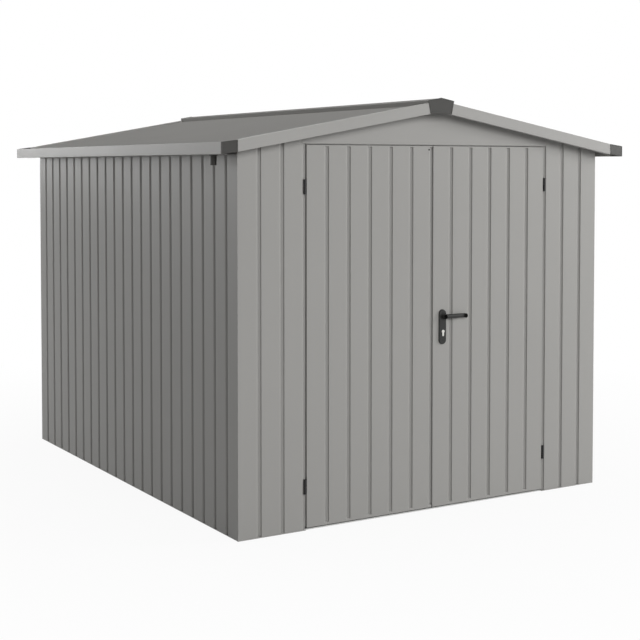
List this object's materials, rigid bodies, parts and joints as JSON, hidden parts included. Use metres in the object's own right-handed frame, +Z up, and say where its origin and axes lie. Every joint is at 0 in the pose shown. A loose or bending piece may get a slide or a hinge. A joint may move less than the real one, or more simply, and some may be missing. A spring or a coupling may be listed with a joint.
{
  "type": "metal storage shed",
  "caption": "Ribbed sheet-metal storage shed with a low gable roof, box gutters, dark end caps and a pair of hinged doors with a lever lock.",
  "frame": {"origin": "middle of the plan at ground level", "axes": "+Z up, -Y out of the doors, +X to the right as seen from in front"},
  "size_m": [2.478, 2.894, 2.109],
  "materials": {
    "wall_paint": "satin grey stoved paint on ribbed steel sheet",
    "roof_paint": "satin grey stoved paint on smooth steel sheet",
    "trim_paint": "satin grey stoved paint on folded steel trim",
    "frame_steel": "plain galvanised steel",
    "cap_plastic": "matt anthracite moulded plastic",
    "handle_black": "black satin plastic",
    "lock_metal": "brushed nickel plate",
    "hinge_dark": "dark coated steel"
  },
  "bodies": {
    "shell": {"base_rail_front": "frame_steel", "base_rail_back": "frame_steel", "base_rail_left": "frame_steel", "base_rail_right": "frame_steel", "corner_posts": "frame_steel", "front_wall_left": "wall_paint", "front_wall_right": "wall_paint", "front_gable": "wall_paint", "back_wall_left": "wall_paint", "back_wall_middle": "wall_paint", "back_wall_right": "wall_paint", "left_wall_front": "wall_paint", "left_wall_back": "wall_paint", "right_wall_front": "wall_paint", "right_wall_back": "wall_paint", "door_jamb_left": "wall_paint", "door_jamb_right": "wall_paint", "door_header": "wall_paint", "left_hinge_jamb_sides": "hinge_dark", "right_hinge_jamb_sides": "hinge_dark", "gutter_left": "trim_paint", "gutter_right": "trim_paint", "gutter_spouts": "cap_plastic", "roof_sheet_left": "roof_paint", "roof_sheet_right": "roof_paint", "verge_front": "trim_paint", "verge_back": "trim_paint", "corner_caps": "cap_plastic", "ridge_cap": "roof_paint", "ridge_end_caps": "cap_plastic", "ridge_beam": "frame_steel"},
    "left_leaf": {"left_door_skin": "wall_paint", "left_door_stiffeners": "wall_paint", "left_hinge_leaf_sides": "hinge_dark"},
    "right_leaf": {"right_door_skin": "wall_paint", "right_door_stiffeners": "wall_paint", "lock_box": "frame_steel", "handle_plate_outer": "handle_black", "handle_plate_inner": "handle_black", "lock_cylinder": "lock_metal", "right_hinge_leaf_sides": "hinge_dark"},
    "lever": {"lever_outer": "handle_black", "lever_inner": "handle_black"}
  },
  "joints": [
    {"name": "left_leaf_hinge", "type": "hinge", "parent": "shell", "child": "left_leaf", "pos_m": [-0.75, -1.364, 0], "axis": [0, 0, -1], "range_deg": [0, 110]},
    {"name": "right_leaf_hinge", "type": "hinge", "parent": "shell", "child": "right_leaf", "pos_m": [0.75, -1.364, 0], "axis": [0, 0, 1], "range_deg": [0, 110]},
    {"name": "lever_turn", "type": "hinge", "parent": "right_leaf", "child": "lever", "pos_m": [0.068, -1.365, 0.994], "axis": [0, 1, 0], "range_deg": [0, 45], "stiffness_Nm_per_rad": 1, "springref_deg": -34.38}
  ]
}
